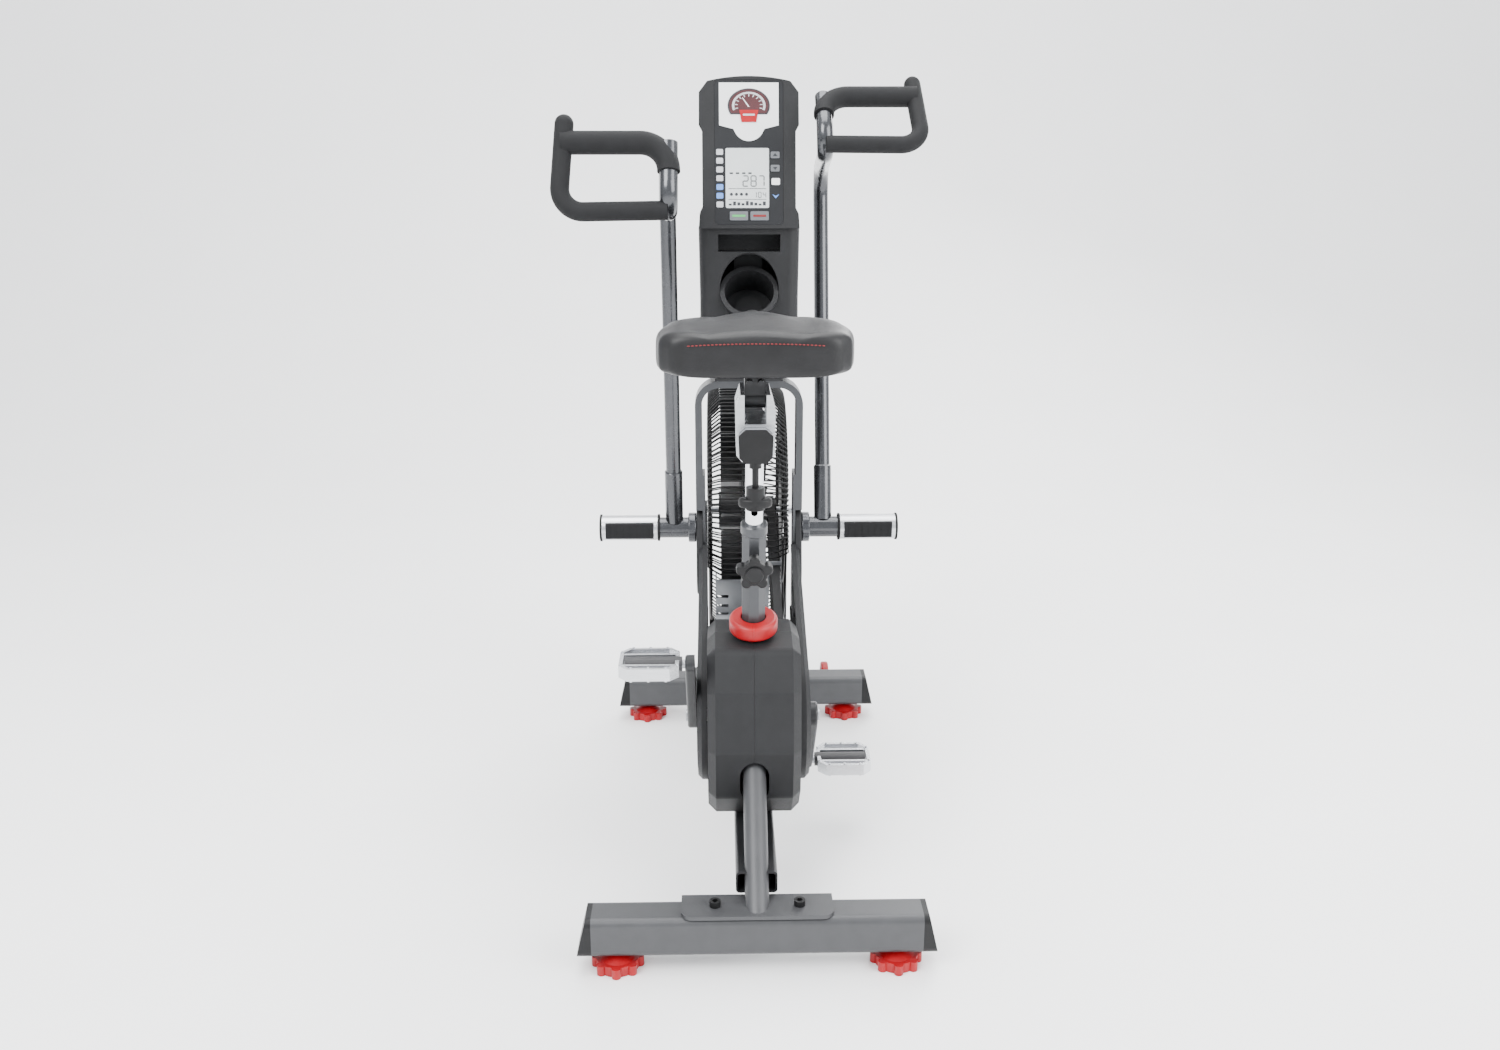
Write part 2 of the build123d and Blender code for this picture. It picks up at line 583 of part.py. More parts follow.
pulley = rod_x(PULLEY_R + 3, BELT_X0 - 4, BELT_X0 - 1, CRANK_Y, CRANK_Z)
pulley += rod_x(PULLEY_R, BELT_X0 - 1, BELT_X1 + 1, CRANK_Y, CRANK_Z)
pulley += rod_x(PULLEY_R + 3, BELT_X1 + 1, BELT_X1 + 4, CRANK_Y, CRANK_Z)
for step in range(6):
    turn = math.radians(60 * step)
    pulley -= rod_x(15, 30, 70, CRANK_Y + 44 * math.cos(turn), CRANK_Z + 44 * math.sin(turn))
add("drive_pulley", pulley - rod_x(10, 30, 70, CRANK_Y, CRANK_Z))


def eccentric(side):
    """Disc off the crank axis, with its strap ring; side +1 right, -1 left."""
    toward = math.atan2(PIVOT_Z - LEVER_LENGTH - CRANK_Z, PIVOT_Y - CRANK_Y)
    y = CRANK_Y - side * ECCENTRIC * math.cos(toward)
    z = CRANK_Z - side * ECCENTRIC * math.sin(toward)
    x0, x1 = sorted((side * 80.0, side * 88.0))
    body = rod_x(38, x0, x1, y, z) + rod_x(45, x0 + 2, x1 - 2, y, z)
    return body - rod_x(10, x0 - 1, x1 + 1, CRANK_Y, CRANK_Z)


add("eccentrics", [eccentric(-1), eccentric(1)])

BELT_THICK = 4.0
big = (CRANK_Y, CRANK_Z, PULLEY_R + GAP)
small = (FAN_Y, FAN_Z, FAN_PULLEY_R + GAP)
belt = plate_x(belt_outline((big[0], big[1], big[2] + BELT_THICK), (small[0], small[1], small[2] + BELT_THICK))
               - belt_outline(big, small), BELT_X0 - 0.5, BELT_X1 + 0.5)
add("drive_belt", belt)

# ---- fan and cage -----------------------------------------------------------------------
FAN_X0, FAN_X1 = -52.0, 36.0
BLADES = 28
fan = rod_x(38, -56, 40, 0, 0)
fan += rod_x(236, -10, -7, 0, 0) - rod_x(150, -12, -5, 0, 0)
for step in range(6):
    fan += Rot(X=60 * step) * slab(-10, -7, -16, 16, 30, 160)
blade = slab(FAN_X0, FAN_X1, -1.2, 1.2, 148, 252)
for step in range(BLADES):
    fan += Rot(X=360 / BLADES * step) * blade
fan -= rod_x(6 + FIT, -60, 60, 0, 0)
fan_pulley = rod_x(FAN_PULLEY_R, 40, 60, 0, 0) + rod_x(FAN_PULLEY_R + 3, 60, 62, 0, 0)
fan_pulley -= rod_x(6 + FIT, 30, 70, 0, 0)
add("fan_wheel", [Pos(0, FAN_Y, FAN_Z) * fan, Pos(0, FAN_Y, FAN_Z) * fan_pulley])


def axle_nut():
    nut = Rot(Y=90) * hexagon(18, 9) - rod_x(6 + FIT, -1, 10, 0, 0)
    return Pos(LEG_MID, FAN_Y, FAN_Z) * nut


add("fan_axle", [rod_x(6, -97, 97, FAN_Y, FAN_Z)] + both(axle_nut()))

WIRES = 150
HUB_DISC_R = 64.0
GUARD_TOP, GUARD_END = 13.0, 76.0      # degrees below the rear horizontal
HOOD_TOP = 5.0


def cage_wire():
    """One wire from the middle hoop over the rim and in to the hub disc."""
    path = FilletPolyline((0.2, 0, CAGE_R), (52, 0, CAGE_R), (CAGE_HALF, 0, CAGE_R - 28),
                          (CAGE_HALF, 0, HUB_DISC_R - 6), radius=14)
    section = Plane(origin=path @ 0, z_dir=path % 0) * Circle(WIRE_D / 2)
    return sweep(section, path=path)


wire = cage_wire()
wire_left = mirrored(wire)
right_wires = []
left_wires = []
for step in range(WIRES):
    turn = 360 / WIRES * step
    below_rear = (turn - 90) % 360     # turning +Z towards -Y, then down
    guarded = GUARD_TOP < below_rear < GUARD_END
    hooded = HOOD_TOP < below_rear < GUARD_END
    place = Pos(0, FAN_Y, FAN_Z) * Rot(X=turn)
    if not guarded:
        left_wires.append(place * wire_left)
    if not hooded:
        right_wires.append(place * wire)
add("left_cage", left_wires)
add("right_cage", right_wires)


def ring(radius, x, thick):
    return Pos(x, FAN_Y, FAN_Z) * Rot(Y=90) * Torus(radius, thick / 2)


inside = WIRE_D / 2 + 2.05
hub_disc = rod_x(HUB_DISC_R, CAGE_HALF - WIRE_D / 2 - 3.05, CAGE_HALF - WIRE_D / 2 - 0.05, FAN_Y, FAN_Z)
hub_disc -= rod_x(6 + FIT, 60, 90, FAN_Y, FAN_Z)
rings = [ring(CAGE_R - inside, 0, 4)]
for radius in (225.0, 150.0):
    rings += both(ring(radius, CAGE_HALF - inside, 4))
add("cage_rings", rings + both(hub_disc))


def guard():
    """Curved plate over the lower back of the cage with cooling slots."""
    outer, inner = CAGE_R + 3.2, CAGE_R - 0.2
    tube = Circle(outer) - Circle(inner)
    flange = Circle(outer) - Circle(outer - 30)
    shape = None
    for x0, x1, top in ((-60, 0, GUARD_TOP), (0, 60, HOOD_TOP)):
        sector = Polygon((0, 0), *[(-400 * math.cos(math.radians(a)), -400 * math.sin(math.radians(a)))
                                   for a in (top, 30, 45, 60, GUARD_END)], align=None)
        piece = plate_x(tube & sector, x0, x1)
        edge = x0 if x0 < 0 else x1
        piece += plate_x(flange & sector, *sorted((edge, edge + math.copysign(2.5, edge))))
        shape = piece if shape is None else shape + piece
    for side in (-1, 1):
        for index in range(6):
            tilt = GUARD_TOP + 8 + 5 * index
            slot = Rot(X=tilt) * slab(side * 50 - 12, side * 50 + 12, -outer - 9, -inner + 5, -3.5, 3.5)
            shape -= slot
    belt_slot = slab(BELT_X0 - 4, BELT_X1 + 4, -outer - 9, -150, -190, -30)
    return Pos(0, FAN_Y, FAN_Z) * (shape - belt_slot)


add("lower_guard", guard())

# ---- mast and console ---------------------------------------------------------------------
MAST_Y0, MAST_Y1 = -4.0, 122.0
MAST_TOP = 1062.0
MAST_TUBE_Y = 98.0
mast_tube = extrude(Pos(0, MAST_TUBE_Y, FORK_TOP) * (Rectangle(50, 30) - Rectangle(45, 25)), 326)
mast_foot = slab(-60, 60, fork_y0, fork_y1, FORK_TOP, FORK_TOP + 5)
mast_foot += slab(-30, 30, 40, MAST_TUBE_Y + 18, FORK_TOP, FORK_TOP + 5)
mast_foot -= Pos(0, MAST_TUBE_Y, FORK_TOP) * Box(45, 25, 20)
add("mast_tube", mast_tube + mast_foot)

CUP_TILT = 38.0
CUP_Y, CUP_Z = 2.0, 952.0
cup_dir = (0, -math.cos(math.radians(CUP_TILT)), math.sin(math.radians(CUP_TILT)))
cup_plane = Plane(origin=(0, CUP_Y, CUP_Z), x_dir=(1, 0, 0), z_dir=cup_dir)


def cup():
    """Bottle holder: lip ring, wall and stepped base, open towards the rider."""
    body = extrude(cup_plane * Circle(45.5), -62) + extrude(cup_plane * Circle(50.5), 6)
    body -= extrude(cup_plane.offset(-58) * Circle(42.5), 90)
    step = extrude(cup_plane.offset(-60) * Circle(24), 10)
    return body + step


cup_shape = cup()
add("bottle_holder", cup_shape)


def shroud():
    """Hollow plastic mast body with the shelf slot and the round mouth for the cup."""
    front = Polygon((-86, 808), (86, 808), (85, 944), (86.5, MAST_TOP), (-86.5, MAST_TOP), (-85, 944), align=None)
    body = plate_y(front, MAST_Y0, MAST_Y1)
    body = fillet(body.edges().filter_by(Axis.Z, tolerance=3), 18)
    core = slab(-82, 82, MAST_Y0 + 3, MAST_Y1 - 3, 800, MAST_TOP - 3)
    core = fillet(core.edges().filter_by(Axis.Z), 14)
    body -= core
    body -= slab(-26, 26, MAST_TUBE_Y - 16, MAST_TUBE_Y + 16, 1000, 1200)
    body += slab(-57, 57, MAST_Y0 + 0.5, MAST_Y0 + 42, MAST_TOP - 44, MAST_TOP - 4)
    body -= slab(-53, 53, MAST_Y0 - 5, MAST_Y0 + 38, MAST_TOP - 39, MAST_TOP - 10)
    body -= extrude(cup_plane.offset(-70) * Circle(46), 140)
    body -= extrude(cup_plane.offset(-0.2) * Circle(51), 80)
    return body.solids().sort_by(SortBy.VOLUME)[-1]


add("mast_shroud", shroud())

CONSOLE_TILT = 12.0
SHELL_DEPTH = 78.0
face_plane = Plane(origin=(0, -12, MAST_TOP + 0.5), x_dir=(1, 0, 0),
                   z_dir=(0, -math.cos(math.radians(CONSOLE_TILT)), math.sin(math.radians(CONSOLE_TILT))))
FACE_HALF, FACE_H = 58.0, 240.0


def console_outline():
    crown = CONSOLE_TOP
    side = [(-85.5, MAST_TOP + 0.6), (-84, MAST_TOP + 24), (-79, MAST_TOP + 34), (-79, MAST_TOP + 158),
            (-84.5, MAST_TOP + 168), (-84, crown - 26)]
    right = [(-x, z) for x, z in reversed(side)]
    points = side + [(-70, crown - 8)]
    line = Polyline(*points)
    top = ThreePointArc((-70, crown - 8), (0, crown), (70, crown - 8))
    rest = Polyline((70, crown - 8), *right)
    base = Line(right[-1], side[0])
    return make_face([line, top, rest, base])


def tilted_slab(front, back):
    """The space between two planes parallel to the face, measured behind it."""
    return extrude(face_plane.offset(-front) * Rectangle(400, 700), front - back)


def console_shell():
    """Tilted hollow housing with a recessed front and a neck for the mast tube."""
    body = plate_y(console_outline(), -80, 200) & tilted_slab(0, SHELL_DEPTH)
    body += slab(-38, 38, 40, MAST_TUBE_Y + 22, MAST_TOP + 0.6, MAST_TOP + 74)
    recess = face_plane.offset(-3) * Pos(0, FACE_H / 2 + 6) * RectangleRounded(2 * FACE_HALF, FACE_H, 8)
    body -= extrude(recess, 20)
    core = plate_y(offset(console_outline(), -4), -80, 200) & tilted_slab(6, SHELL_DEPTH - 4)
    body -= core
    body -= slab(-26, 26, MAST_TUBE_Y - 16, MAST_TUBE_Y + 16, MAST_TOP - 1, MAST_TOP + 62)
    return body.solids().sort_by(SortBy.VOLUME)[-1]


add("console_shell", console_shell())

face_at = face_plane.offset(-2.9)
KEY_X = 44.0
SCREEN_W, SCREEN_H, SCREEN_Z = 74.0, 100.0, 84.0
KEY_W, KEY_H = 15.0, 11.0
BIG_KEY_W, BIG_KEY_H, BIG_KEY_Z = 31.0, 15.0, 21.0
keys = {"up_key": (KEY_X, 122.0, KEY_W, KEY_H), "down_key": (KEY_X, 100.0, KEY_W, KEY_H),
        "start_key": (-17.5, BIG_KEY_Z, BIG_KEY_W, BIG_KEY_H), "stop_key": (17.5, BIG_KEY_Z, BIG_KEY_W, BIG_KEY_H)}


def console_face():
    panel = extrude(face_at * Pos(0, FACE_H / 2 + 6) * RectangleRounded(2 * FACE_HALF - 0.8, FACE_H - 0.8, 7.6), 2.4)
    window = face_at * Pos(-3, SCREEN_Z) * RectangleRounded(SCREEN_W, SCREEN_H, 3)
    panel -= extrude(window, 5)
    for x, z, width, height in keys.values():
        panel -= extrude(face_at.offset(0.6) * Pos(x, z) * RectangleRounded(width + 0.8, height + 0.8, 2.4), 5)
    return panel


add("console_face", console_face())
screen = face_at * Pos(-3, SCREEN_Z) * RectangleRounded(SCREEN_W - 0.6, SCREEN_H - 0.6, 2.7)
add("console_screen", extrude(screen, 1.8))
for name, (x, z, width, height) in keys.items():
    key = extrude(face_at.offset(1.8) * Pos(x, z) * RectangleRounded(width, height, 2), 1.8)
    add(name, key)

# ---- seat post, slider and saddle ------------------------------------------------------------
POST_BOTTOM, POST_TOP = 170.0, 495.0
RAIL_Z0, RAIL_Z1 = 761.0, 808.0
RAIL_Y0, RAIL_Y1 = -436.0, -262.0
post_top_y = CRANK_Y - math.tan(lean) * (RAIL_Z0 - CRANK_Z)
rail_shape = Polygon((-15, RAIL_Z0), (15, RAIL_Z0), (23, RAIL_Z0 + 8), (24, RAIL_Z1 - 8), (15, RAIL_Z1),
                     (-15, RAIL_Z1), (-24, RAIL_Z1 - 8), (-23, RAIL_Z0 + 8), align=None)


def seat_post():
    post = Pos(0, 0, (POST_BOTTOM + POST_TOP) / 2) * Cylinder(POST_R, POST_TOP - POST_BOTTOM)
    post -= Pos(0, 0, (POST_BOTTOM + POST_TOP) / 2 - 12) * Cylinder(POST_R - 2.5, POST_TOP - POST_BOTTOM)
    for step in range(7):
        post -= Pos(0, -POST_R, PIN_HEIGHT - 60 + 30 * step) * Rot(X=90) * Cylinder(5.4, 12)
    post = seat_plane * post
    post -= slab(-60, 60, -600, 0, RAIL_Z0 + 4, 900)
    rail = plate_y(rail_shape - offset(rail_shape, -3), RAIL_Y0, RAIL_Y1)
    return rail + post


add("seat_post", seat_post())
cap_shape = offset(rail_shape, 1.2)
rail_caps = []
for y0, y1, plug0, plug1 in ((RAIL_Y0 - 6, RAIL_Y0, RAIL_Y0, RAIL_Y0 + 10), (RAIL_Y1, RAIL_Y1 + 6, RAIL_Y1 - 10, RAIL_Y1)):
    rail_caps.append(plate_y(cap_shape, y0, y1) + plate_y(offset(rail_shape, -3.3), plug0, plug1))
add("rail_caps", rail_caps)

SLIDER_Y0, SLIDER_Y1 = -418.0, -318.0
SLIDER_TOP = 856.0
LOCK_Y = post_top_y - 44


def seat_slider():
    """Bright carriage: two cheeks that wrap the rail and rise to the saddle clamp."""
    outer = Polygon((-20, RAIL_Z0 - 4), (20, RAIL_Z0 - 4), (28, RAIL_Z0 + 6), (29, SLIDER_TOP - 22), (22, SLIDER_TOP),
                    (-22, SLIDER_TOP), (-29, SLIDER_TOP - 22), (-28, RAIL_Z0 + 6), align=None)
    body = plate_y(outer, SLIDER_Y0, SLIDER_Y1)
    body -= plate_y(offset(rail_shape, 0.4), SLIDER_Y0 - 1, SLIDER_Y1 + 1)
    body -= slab(-16, 16, SLIDER_Y0 - 1, SLIDER_Y1 + 1, RAIL_Z1 + 5, SLIDER_TOP + 1)
    body -= slab(-17.5, 17.5, LOCK_Y + 10, SLIDER_Y1 + 1, RAIL_Z0 - 10, RAIL_Z0 + 6)
    body -= rod_x(4 + FIT, -40, 40, TILT_Y, TILT_Z)
    body -= rod_z(5 + FIT, RAIL_Z0 - 8, RAIL_Z0 + 1, 0, LOCK_Y)
    return body.solids().sort_by(SortBy.VOLUME)[-1]


TILT_Y, TILT_Z = (SLIDER_Y0 + SLIDER_Y1) / 2, SLIDER_TOP - 15
add("seat_slider", seat_slider())


def lock_knob():
    """Oval two-wing knob on the threaded clamp bolt."""
    z0 = RAIL_Z0 - 75
    wings = Pos(0, 0, z0) * extrude(Ellipse(25, 14), 15)
    wings = fillet(wings.edges(), 5)
    core = Pos(0, 0, z0 + 14) * Cylinder(14, 34)
    bolt = rod_z(5, z0 + 20, RAIL_Z0 - 0.4, 0, 0)
    washer = Pos(0, 0, RAIL_Z0 - 9.5) * Cylinder(9, 10)
    return Pos(0, LOCK_Y, 0) * (wings + core + bolt + washer)


add("lock_knob", lock_knob())


def height_knob():
    """Five-lobed knob with the spring pin that locks the post; local axis along Z."""
    shape = Circle(21)
    for step in range(5):
        turn = math.radians(90 + 72 * step)
        shape += Pos(21 * math.cos(turn), 21 * math.sin(turn)) * Circle(8.5)
    knob = fillet(extrude(shape, 16).edges(), 3)
    dome = Pos(0, 0, 17) * Cylinder(14, 6)
    pin = Pos(0, 0, -8) * Cylinder(5, 18)
    return knob + fillet(dome.edges().sort_by(Axis.Z)[-1], 2) + pin


knob_base = SEAT_TUBE_AF / 2 + 13
knob_plane = Plane(origin=(0, -knob_base, PIN_HEIGHT), x_dir=(1, 0, 0), z_dir=(0, -1, 0))
add("height_knob", seat_plane * (knob_plane * height_knob()))

SADDLE_Y0 = REAR_Y + 107
SADDLE_Y1 = SADDLE_Y0 + 262
SADDLE_Z0, SADDLE_Z1 = 884.0, 952.0


def saddle_clamp():
    """Dark clamp block on the tilt pin, with the seat plate and two bolts."""
    body = rod_x(13, -15.4, 15.4, TILT_Y, TILT_Z)
    body += slab(-15.4, 15.4, TILT_Y - 11, TILT_Y + 11, TILT_Z, SADDLE_Z0 - 4)
    body += slab(-15.4, 15.4, TILT_Y - 30, TILT_Y + 26, SLIDER_TOP + 10, SADDLE_Z0 - 4)
    body += slab(-32, 32, TILT_Y - 40, TILT_Y + 60, SADDLE_Z0 - 5, SADDLE_Z0)
    for x in (-8.5, 8.5):
        body += rod_y(4.2, TILT_Y - 44, TILT_Y - 20, x, SLIDER_TOP + 16)
    return body + rod_x(4, -26, 26, TILT_Y, TILT_Z)


add("saddle_clamp", saddle_clamp())


def saddle():
    """Wide cushion: flat rear wall, rounded ends, narrowing to a blunt nose."""
    y0, y1 = SADDLE_Y0, SADDLE_Y1
    plan = make_face([
        Polyline((-110, y0), (110, y0)),
        ThreePointArc((110, y0), (139, y0 + 22), (145, y0 + 62)),
        Spline((145, y0 + 62), (112, y0 + 132), (52, y1 - 52), (36, y1 - 20)),
        ThreePointArc((36, y1 - 20), (0, y1), (-36, y1 - 20)),
        Spline((-36, y1 - 20), (-52, y1 - 52), (-112, y0 + 132), (-145, y0 + 62)),
        ThreePointArc((-145, y0 + 62), (-139, y0 + 22), (-110, y0)),
    ])
    body = extrude(Pos(0, 0, SADDLE_Z0 + 0.02) * plan, SADDLE_Z1 - SADDLE_Z0 + 12)
    return fillet(body.faces().sort_by(Axis.Z)[-1].edges(), 12)


add("saddle", saddle())

os.makedirs("parts", exist_ok=True)
for name, shape in parts.items():
    shape.label = name
    export_step(shape, "parts/" + name + ".step")
print(len(parts), "nodes")
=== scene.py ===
import bpy
import bmesh
import json
import math
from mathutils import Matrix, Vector


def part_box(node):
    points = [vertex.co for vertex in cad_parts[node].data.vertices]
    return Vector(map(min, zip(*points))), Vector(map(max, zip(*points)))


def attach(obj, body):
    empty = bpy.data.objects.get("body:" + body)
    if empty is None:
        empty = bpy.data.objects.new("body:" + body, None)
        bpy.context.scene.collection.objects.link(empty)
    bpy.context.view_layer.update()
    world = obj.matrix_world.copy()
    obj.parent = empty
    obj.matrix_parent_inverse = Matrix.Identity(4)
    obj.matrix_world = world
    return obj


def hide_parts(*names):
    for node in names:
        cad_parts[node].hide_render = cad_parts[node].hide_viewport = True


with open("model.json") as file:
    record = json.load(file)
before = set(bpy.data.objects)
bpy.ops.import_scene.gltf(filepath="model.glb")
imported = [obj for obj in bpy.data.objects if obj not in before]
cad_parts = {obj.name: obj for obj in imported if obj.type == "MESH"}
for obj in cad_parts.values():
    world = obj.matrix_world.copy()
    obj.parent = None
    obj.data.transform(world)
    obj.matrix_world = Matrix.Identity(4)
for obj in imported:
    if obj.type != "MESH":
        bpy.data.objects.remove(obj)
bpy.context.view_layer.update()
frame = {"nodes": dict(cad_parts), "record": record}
nodes = frame["nodes"]


# ---- materials -----------------------------------------------------------------
def material(name, color, rough, metal=0.0, spread=0.12, scale=60.0, bump=0.05, bump_scale=900.0,
             stretch=(1, 1, 1), coat=0.0, spec=0.5, rough_spread=0.08):
    """Procedural surface: mottled colour, uneven roughness and a fine bump."""
    m = bpy.data.materials.new(name)
    m.use_nodes = True
    tree = m.node_tree
    new, link = tree.nodes.new, tree.links.new
    shader = tree.nodes["Principled BSDF"]
    shader.inputs["Metallic"].default_value = metal
    shader.inputs["Coat Weight"].default_value = coat
    shader.inputs["Coat Roughness"].default_value = 0.12
    shader.inputs["Specular IOR Level"].default_value = spec
    place = new("ShaderNodeTexCoord")
    grow = new("ShaderNodeMapping")
    grow.inputs["Scale"].default_value = stretch
    link(place.outputs["Object"], grow.inputs["Vector"])
    coarse = new("ShaderNodeTexNoise")
    coarse.inputs["Scale"].default_value = scale
    coarse.inputs["Detail"].default_value = 6
    link(grow.outputs["Vector"], coarse.inputs["Vector"])
    ramp = new("ShaderNodeValToRGB")
    ramp.color_ramp.elements[0].position = 0.3
    ramp.color_ramp.elements[1].position = 0.7
    ramp.color_ramp.elements[0].color = [c * (1 - spread) for c in color] + [1]
    ramp.color_ramp.elements[1].color = [min(1, c * (1 + spread)) for c in color] + [1]
    link(coarse.outputs["Fac"], ramp.inputs["Fac"])
    link(ramp.outputs["Color"], shader.inputs["Base Color"])
    span = new("ShaderNodeMapRange")
    span.inputs["To Min"].default_value = max(0.02, rough - rough_spread)
    span.inputs["To Max"].default_value = min(1, rough + rough_spread)
    link(coarse.outputs["Fac"], span.inputs["Value"])
    link(span.outputs["Result"], shader.inputs["Roughness"])
    fine = new("ShaderNodeTexNoise")
    fine.inputs["Scale"].default_value = bump_scale
    fine.inputs["Detail"].default_value = 3
    link(grow.outputs["Vector"], fine.inputs["Vector"])
    lift = new("ShaderNodeBump")
    lift.inputs["Strength"].default_value = bump
    lift.inputs["Distance"].default_value = 0.001
    link(fine.outputs["Fac"], lift.inputs["Height"])
    link(lift.outputs["Normal"], shader.inputs["Normal"])
    return m


def leather(name, color):
    """Grained vinyl: cells with soft creases between them."""
    m = material(name, color, 0.42, spread=0.2, scale=35, bump=0.0, spec=0.3, rough_spread=0.1)
    tree = m.node_tree
    cells = tree.nodes.new("ShaderNodeTexVoronoi")
    cells.feature = "DISTANCE_TO_EDGE"
    cells.inputs["Scale"].default_value = 620
    place = tree.nodes["Texture Coordinate"]
    tree.links.new(place.outputs["Object"], cells.inputs["Vector"])
    lift = tree.nodes["Bump"]
    lift.inputs["Strength"].default_value = 0.35
    lift.inputs["Distance"].default_value = 0.0006
    tree.links.new(cells.outputs["Distance"], lift.inputs["Height"])
    return m


M = {
    "grey_paint": material("grey_paint", (0.050, 0.051, 0.054), 0.42, 0.35, 0.07, 40, 0.12, 1500),
    "dark_paint": material("dark_paint", (0.014, 0.0145, 0.016), 0.4, 0.3, 0.15, 50, 0.12, 1500),
    "silver_paint": material("silver_paint", (0.055, 0.057, 0.061), 0.34, 0.6, 0.06, 45, 0.08, 1600),
    "gunmetal": material("gunmetal", (0.045, 0.047, 0.052), 0.26, 0.8, 0.1, 60, 0.05, 2200, coat=0.6),
    "black_wire": material("black_wire", (0.006, 0.006, 0.0065), 0.45, 0, 0.2, 80, 0.1, 1800, spec=0.25),
    "charcoal_plastic": material("charcoal_plastic", (0.0125, 0.0128, 0.0138),
            0.5, 0, 0.1, 30, 0.35, 1400, spec=0.22),
    "black_plastic": material("black_plastic", (0.006, 0.006, 0.0065),
            0.42, 0, 0.15, 40, 0.25, 1400, spec=0.25),
    "grey_plastic": material("grey_plastic", (0.24, 0.25, 0.265), 0.24, 0.5, 0.05, 30, 0.06, 1200, coat=0.5),
    "red_plastic": material("red_plastic", (0.30, 0.004, 0.008), 0.36, 0, 0.12, 50, 0.12, 1200, spec=0.35),
    "white_plastic": material("white_plastic", (0.010, 0.0105, 0.012), 0.38, 0, 0.03, 30, 0.06, 1400, spec=0.3),
    "screen": material("screen", (0.52, 0.55, 0.55), 0.12, 0, 0.04, 25, 0.01, 500, coat=0.8),
    "key_plastic": material("key_plastic", (0.10, 0.105, 0.115), 0.4, 0, 0.05, 60, 0.1, 1500),
    "rubber": material("rubber", (0.0085, 0.0087, 0.0095), 0.72, 0, 0.16, 45, 0.5, 1000, spec=0.2),
    "belt_rubber": material("belt_rubber", (0.012, 0.012, 0.013), 0.7, 0, 0.2, 80, 0.4, 1300),
    "vinyl": leather("vinyl", (0.0065, 0.0065, 0.0072)),
    "chrome": material("chrome", (0.74, 0.75, 0.78), 0.1, 1, 0.05, 30, 0.02, 800),
    "bright_metal": material("bright_metal", (0.58, 0.59, 0.61), 0.24, 1, 0.08, 40, 0.15, 900, (1, 12, 12)),
    "steel": material("steel", (0.42, 0.43, 0.45), 0.3, 1, 0.12, 50, 0.15, 900, (1, 10, 10)),
    "red_thread": material("red_thread", (0.16, 0.004, 0.006), 0.7, 0, 0.2, 900, 0.6, 3000),
    "dial": material("dial", (0.05, 0.008, 0.01), 0.2, 0, 0.2, 40, 0.02, 700, coat=0.8),
    "panel_white": material("panel_white", (0.74, 0.75, 0.76), 0.3, 0, 0.03, 30, 0.04, 1400),
    "ink": material("ink", (0.02, 0.022, 0.026), 0.35, 0, 0.2, 80, 0.02, 1400),
    "silver_print": material("silver_print", (0.62, 0.63, 0.65), 0.3, 0.6, 0.06, 60, 0.02, 1400),
    "blue_print": material("blue_print", (0.10, 0.22, 0.55), 0.35, 0, 0.08, 60, 0.02, 1400),
    "green_print": material("green_print", (0.06, 0.35, 0.10), 0.35, 0, 0.08, 60, 0.02, 1400),
    "dark_core": material("dark_core", (0.022, 0.022, 0.024), 0.45, 0, 0.15, 60, 0.2, 1400),
}

slots = {s["node"]: s["material_slot"] for s in frame["record"]["subparts"]}
for name, ob in nodes.items():
    ob.data.materials.clear()
    ob.data.materials.append(M[slots[name]])


# ---- mesh helpers ----------------------------------------------------------------
def mesh_object(name, verts, faces, mat, body, smooth=True):
    mesh = bpy.data.meshes.new(name)
    mesh.from_pydata([tuple(v) for v in verts], [], faces)
    mesh.update()
    ob = bpy.data.objects.new(name, mesh)
    bpy.context.scene.collection.objects.link(ob)
    mesh.materials.append(M[mat])
    for p in mesh.polygons:
        p.use_smooth = smooth
    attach(ob, body)
    return ob


def split_node(node, body, pick):
    """Copies each loose part of a node into its own piece; pick(low, high) gives (name, material key)."""
    source = nodes[node].data
    bm = bmesh.new()
    bm.from_mesh(source)
    bmesh.ops.remove_doubles(bm, verts=bm.verts, dist=1e-6)
    todo = set(bm.verts)
    groups = []
    while todo:
        stack = [todo.pop()]
        group = set(stack)
        while stack:
            for e in stack.pop().link_edges:
                for v in e.verts:
                    if v in todo:
                        todo.discard(v)
                        group.add(v)
                        stack.append(v)
        groups.append(group)
    made = []
    for group in groups:
        verts = list(group)
        number = {v: i for i, v in enumerate(verts)}
        faces = [[number[v] for v in f.verts] for f in bm.faces if f.verts[0] in group]
        xs = [v.co for v in verts]
        low = Vector([min(v[i] for v in xs) for i in range(3)])
        high = Vector([max(v[i] for v in xs) for i in range(3)])
        name, mat = pick(low, high)
        made.append(mesh_object(name, [v.co.copy() for v in verts], faces, mat, body, False))
    bm.free()
    for ob in made:
        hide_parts(node)
    return made


# ---- pedals: bright platform, dark bearing body --------------------------------------
PLATFORM_MIN_DEPTH = 0.06      # the bearing body is shallower than this
for side in ("left", "right"):
    def pedal_part(low, high, side=side):
        wide = (high.y - low.y) > PLATFORM_MIN_DEPTH
        return (side + "_pedal_frame", "bright_metal") if wide else (side + "_pedal_core", "dark_core")
    split_node(side + "_pedal", side + "_pedal", pedal_part)

# ---- saddle cushion ---------------------------------------------------------------------
low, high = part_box("saddle")
rear, nose = low[1], high[1]
base = low[2]
ROWS, AROUND = 46, 56


